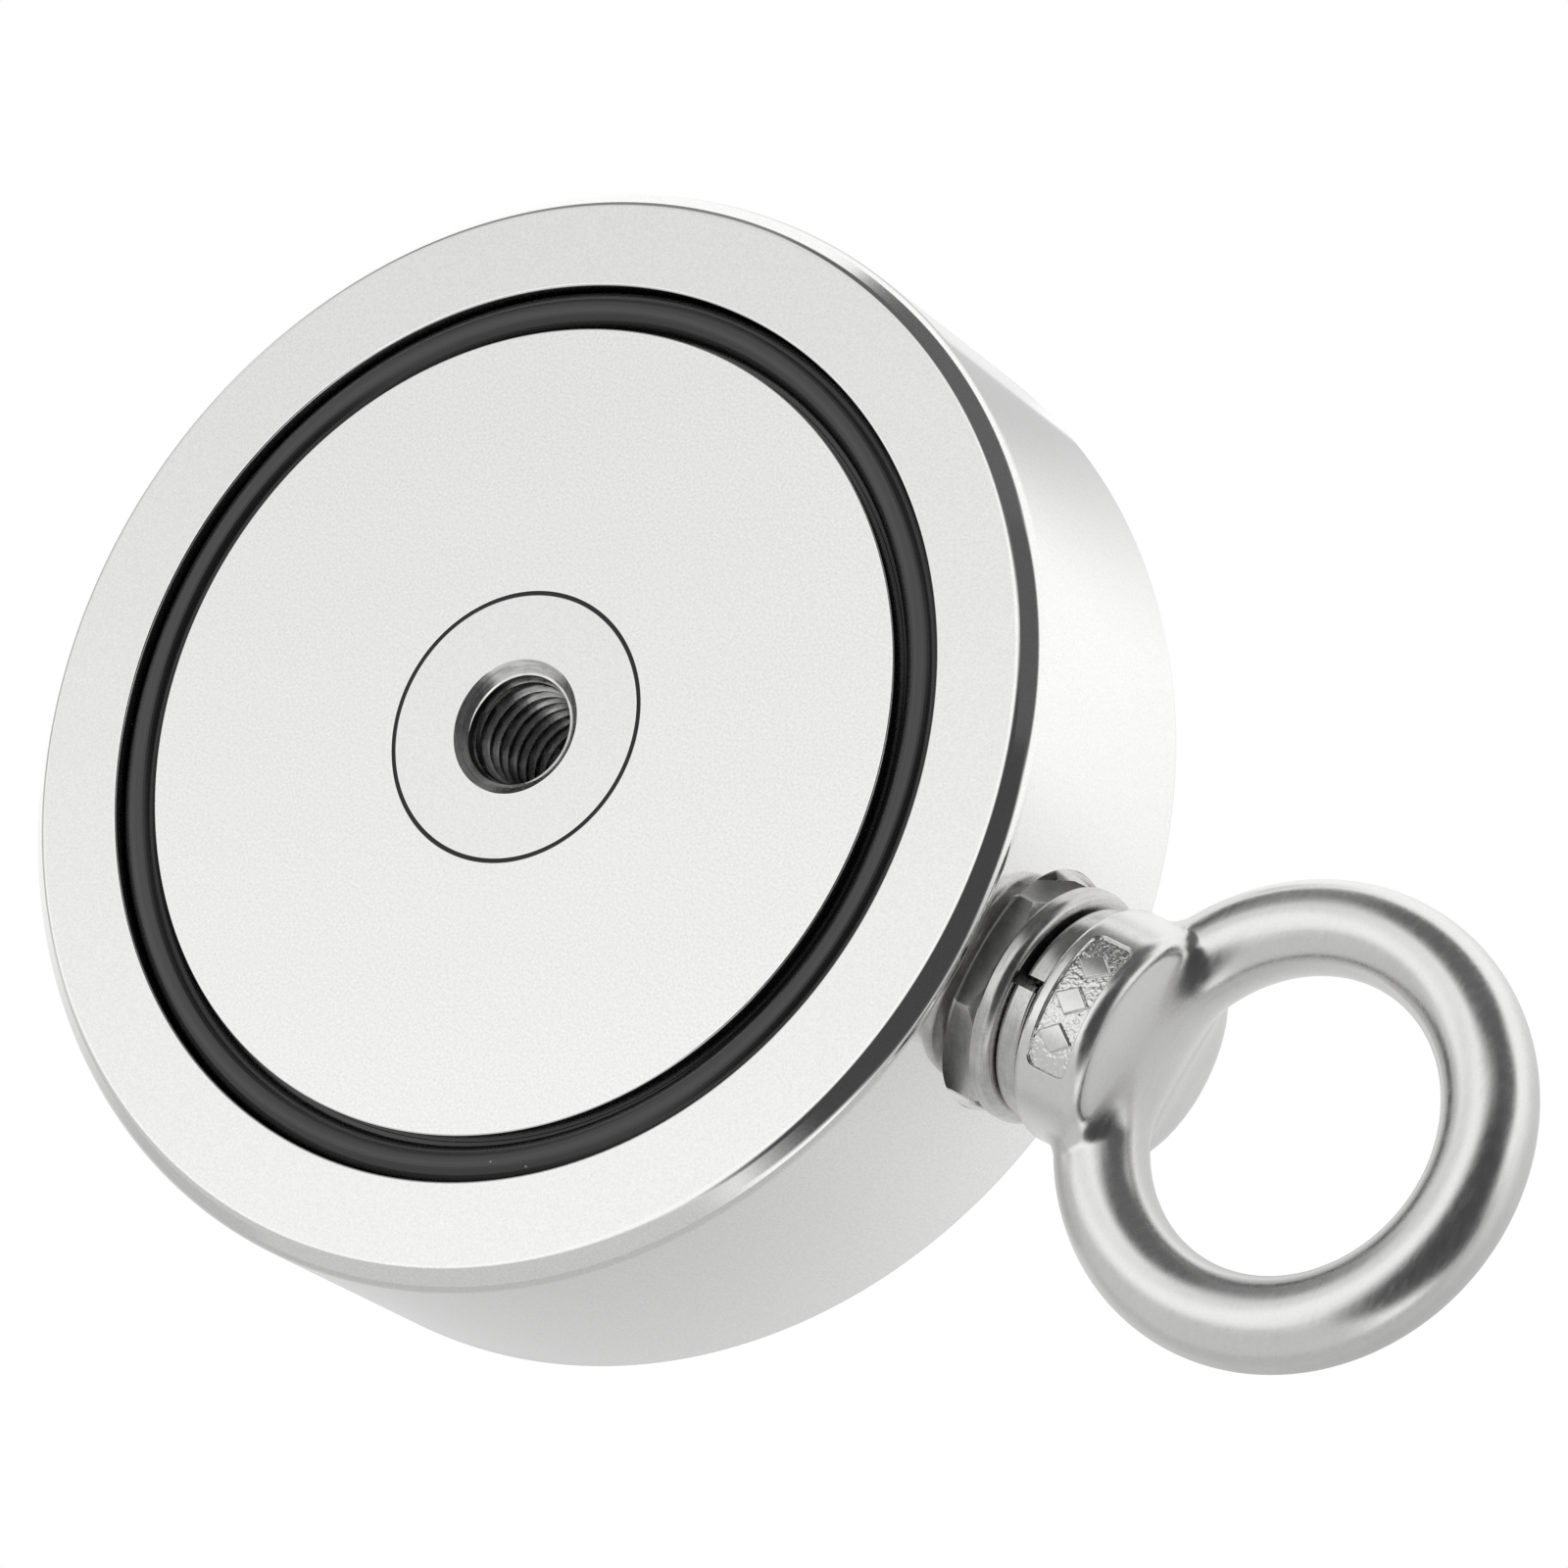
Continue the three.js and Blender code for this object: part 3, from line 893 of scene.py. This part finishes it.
def tapped(paint):
    """The cut thread and its mouth in the bush: dull, ringed by the tap, and darkened in the roots as
    painted shade.
    """
    x, y, z = paint.parts(paint.place())
    x = x - AXIS_X
    radius = away(x, y)
    turn = y.turn_from(x)
    rings = paint.noise(paint.vector(radius * 3600, turn * 1.6, z * 3600), 1.0, 2)
    stain = paint.noise(paint.vector(radius * 1500, turn * 5, z * 900), 1.0, 3, 0.6)
    in_thread = (BUSH_THREADED_HALF - abs(z - POT_HEIGHT / 2)).rise(0, 0.1 * MM)
    # painted shade: the thread's roots, out towards the major radius, are darkened along the threaded
    # length
    root = radius.rise(THREAD_MINOR - 0.02 * MM, THREAD_MAJOR - 0.15 * MM) * in_thread
    shade = (rings - 0.5) * 1.1 + (stain - 0.5) * 0.7 + 0.8 - root * 0.9
    return {
        "Metallic": 1.0,
        "Base Color": paint.mix(shade, grey(0.05, TURNED_WARMTH), grey(0.9, TURNED_WARMTH)),
        "Roughness": (stain - 0.5) * 0.2 + 0.25,
        "Normal": paint.bump(rings, TAPPED_GRAIN),
    }


def rubber(paint):
    """Black rubber cord, faintly bloomed, with a few specks of dust."""
    where = paint.place()
    fine = paint.noise(where, 6000, 2)
    bloom = paint.noise(where, 180, 3)
    dust = 1 - paint.cells(where, 420).rise(0.03, 0.05)
    chosen = paint.noise(where, 130, 1).rise(0.6, 0.62)
    speck = dust * chosen
    dark = paint.mix(bloom, grey(0.005), grey(0.014))
    return {
        "Base Color": paint.mix(speck, dark, grey(0.45)),
        "Roughness": (fine - 0.5) * 0.14 + (bloom - 0.5) * 0.1 + speck * 0.3 + 0.27,
        "Specular IOR Level": 0.5,
        "Coat Weight": 0.8,
        "Coat Roughness": 0.22,
        "Coat IOR": 1.5,
        "Normal": paint.bump(fine + speck * 0.6, RUBBER_GRAIN),
    }


def epoxy(paint):
    """Black potting resin, matt and a little uneven."""
    where = paint.place()
    lumps = paint.noise(where, 1500, 3)
    return {
        "Base Color": paint.mix(lumps, grey(0.006), grey(0.02)),
        "Roughness": (lumps - 0.5) * 0.2 + 0.5,
        "Normal": paint.bump(lumps, EPOXY_GRAIN),
    }


FINISHES = {
    "nickel_plated_steel": nickel(0.88, 0.10, 0.22 * MM, 1.8),
    "nickel_plated_magnet": nickel(0.90, 0.15, 0.25 * MM, 2.2),
    "cast_stainless": cast_steel,
    "nut_steel": nut_steel,
    "tapped": tapped,
    "turned_stainless": turned_steel,
    "black_rubber": rubber,
    "black_epoxy": epoxy,
}


# --- Camera, light and floor -------------------------------------------------------------------

def make_camera():
    """A long lens that looks down on the front face from the bolt's side."""
    aim = Vector((AXIS_X + 16.5 * MM, 6.36 * MM, BOLT_HEIGHT))
    azimuth, elevation, roll = radians(-5.84), radians(56.34), radians(-56.9)
    distance = 635.6 * MM
    towards = Vector((cos(azimuth) * cos(elevation), sin(azimuth) * cos(elevation), sin(elevation)))
    data = bpy.data.cameras.new("camera")
    data.sensor_width = 36
    data.lens = 178.7
    data.clip_start = 0.01
    camera = bpy.data.objects.new("camera", data)
    bpy.context.scene.collection.objects.link(camera)
    facing = towards.to_track_quat("Z", "Y").to_matrix().to_4x4()
    stand = Matrix.Translation(aim + towards * distance)
    camera.matrix_world = stand @ facing @ Matrix.Rotation(roll, 4, "Z")
    bpy.context.scene.camera = camera


def make_floor():
    """A light table, white where it is seen directly. The glow that it throws on the object is painted
    light and shade: strongest on the far side, weaker before the eye and beside the pot, and none under
    the pot."""
    clear_selection()
    bpy.ops.mesh.primitive_plane_add(size=FLOOR_SIZE, location=(AXIS_X, 0, -FLOOR_DROP))
    floor = bpy.context.object
    floor.name = "light_table"
    settle(floor)
    material = bpy.data.materials.new("light_table")
    paint = Paint(material)
    x, y = paint.parts(paint.place())[:2]
    # Painted light and shade on the glow: more light on the far side, a painted shadow before the eye, a
    # painted dark patch and a painted shade beside the pot's wall, and a painted contact shadow round the
    # pot's foot.
    far = across(x, y, FAR_SIDE).rise(*FAR_RISE)
    at_eye = 1 - away(x - EYE_SHADE_X, y).rise(*EYE_FADE)
    on_painted_patch = across(x, y, PAINTED_PATCH_SIDE).rise(*PAINTED_PATCH_EDGE)
    painted_patch = on_painted_patch * (1 - x.rise(*PAINTED_PATCH_END_X)) * (1 - y.rise(*PAINTED_PATCH_END_Y))
    in_band = x.rise(*WALL_RISE_X) * (1 - x.rise(*WALL_END_X))
    at_wall = (1 - on_painted_patch) * y.rise(*WALL_RISE_Y) * in_band
    clear_of_pot = away(x - AXIS_X, y).rise(*POT_RISE)
    shade = (painted_patch * PAINTED_PATCH_SHADE).over(at_wall * WALL_SHADE)
    strength = (far * FAR_GLOW + NEAR_GLOW) * clear_of_pot * (1 - at_eye * EYE_SHADE) * (1 - shade)
    glow = paint.add("ShaderNodeEmission", inputs={"Strength": strength})
    white = paint.add("ShaderNodeEmission", inputs={"Strength": 1.0})
    seen = paint.add("ShaderNodeLightPath")
    surface = paint.add("ShaderNodeMixShader", inputs={0: seen, 1: glow, 2: white})
    paint.add("ShaderNodeOutputMaterial", inputs={"Surface": surface})
    floor.data.materials.append(material)


def make_studio():
    """White surroundings with soft dark screens round the camera and beside the eye."""
    world = bpy.data.worlds.new("studio")
    bpy.context.scene.world = world
    paint = Paint(world)
    x, y, z = paint.parts(paint.add("ShaderNodeTexCoord", output="Generated"))

    def screen(azimuth, elevation, full, gone):
        a, e = radians(azimuth), radians(elevation)
        facing = x * (cos(a) * cos(e)) + y * (sin(a) * cos(e)) + z * sin(e)
        return facing.rise(cos(radians(gone)), cos(radians(full)))

    cover = 0
    for azimuth, elevation, full, gone, depth in SCREENS:
        cover = (screen(azimuth, elevation, full, gone) * depth).over(cover)
    light = (1 - cover) * STUDIO_LIGHT
    seen = paint.add("ShaderNodeLightPath")
    strength = paint.add("ShaderNodeMix", inputs={0: seen, 2: light, 3: 1.0})
    around = paint.add("ShaderNodeBackground", inputs={"Strength": strength})
    paint.add("ShaderNodeOutputWorld", inputs={"Surface": around})
    bpy.context.scene.view_settings.view_transform = "Standard"


# --- Assembly ----------------------------------------------------------------------------------

def fit(piece, body, node, slot, finish=None):
    """Puts the piece on its body, in place of its node if it has one, in the slot's finish or another."""
    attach(piece, body)
    if node:
        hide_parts(node)
    piece.data.materials.clear()
    piece.data.materials.append(finishes[finish or slot])


make_camera()
make_studio()
make_floor()
finishes = {slot: finish_with(slot, fill) for slot, fill in FINISHES.items()}

fit(make_pot(), "magnet_body", "casing", "nickel_plated_steel")
bush = make_bush()
fit(bush, "magnet_body", "centre_bush", "nickel_plated_steel")
bush.data.materials.append(finishes["tapped"])
for face in bush.data.polygons:
    in_bore = hypot(face.center.x - AXIS_X, face.center.y) < BUSH_MOUTH_RADIUS
    face.material_index = 1 if in_bore else 0
for side, place in (("front", ON_FRONT), ("rear", ON_REAR)):
    fit(make_magnet(f"{side}_disc", place), "magnet_body", f"{side}_magnet", "nickel_plated_magnet")
    fit(make_seal(f"{side}_seal", place), "magnet_body", f"{side}_seal_ring", "black_rubber")
    fit(make_hairline(f"{side}_hairline", place), "magnet_body", f"{side}_bush_seal", "black_epoxy")
    for node in (f"{side}_magnet_bond", f"{side}_potting_ring"):
        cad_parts[node].data.materials.clear()
        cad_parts[node].data.materials.append(finishes["black_epoxy"])
fit(make_lock_nut(), "eye_bolt", "lock_nut", "turned_stainless", "nut_steel")
fit(make_flat_washer(), "washers", "flat_washer", "turned_stainless")
fit(make_spring_washer(), "washers", "spring_washer", "turned_stainless")
fit(make_eye(), "eye_bolt", "eye_bolt", "cast_stainless")
fit(make_shank(), "eye_bolt", None, "cast_stainless")
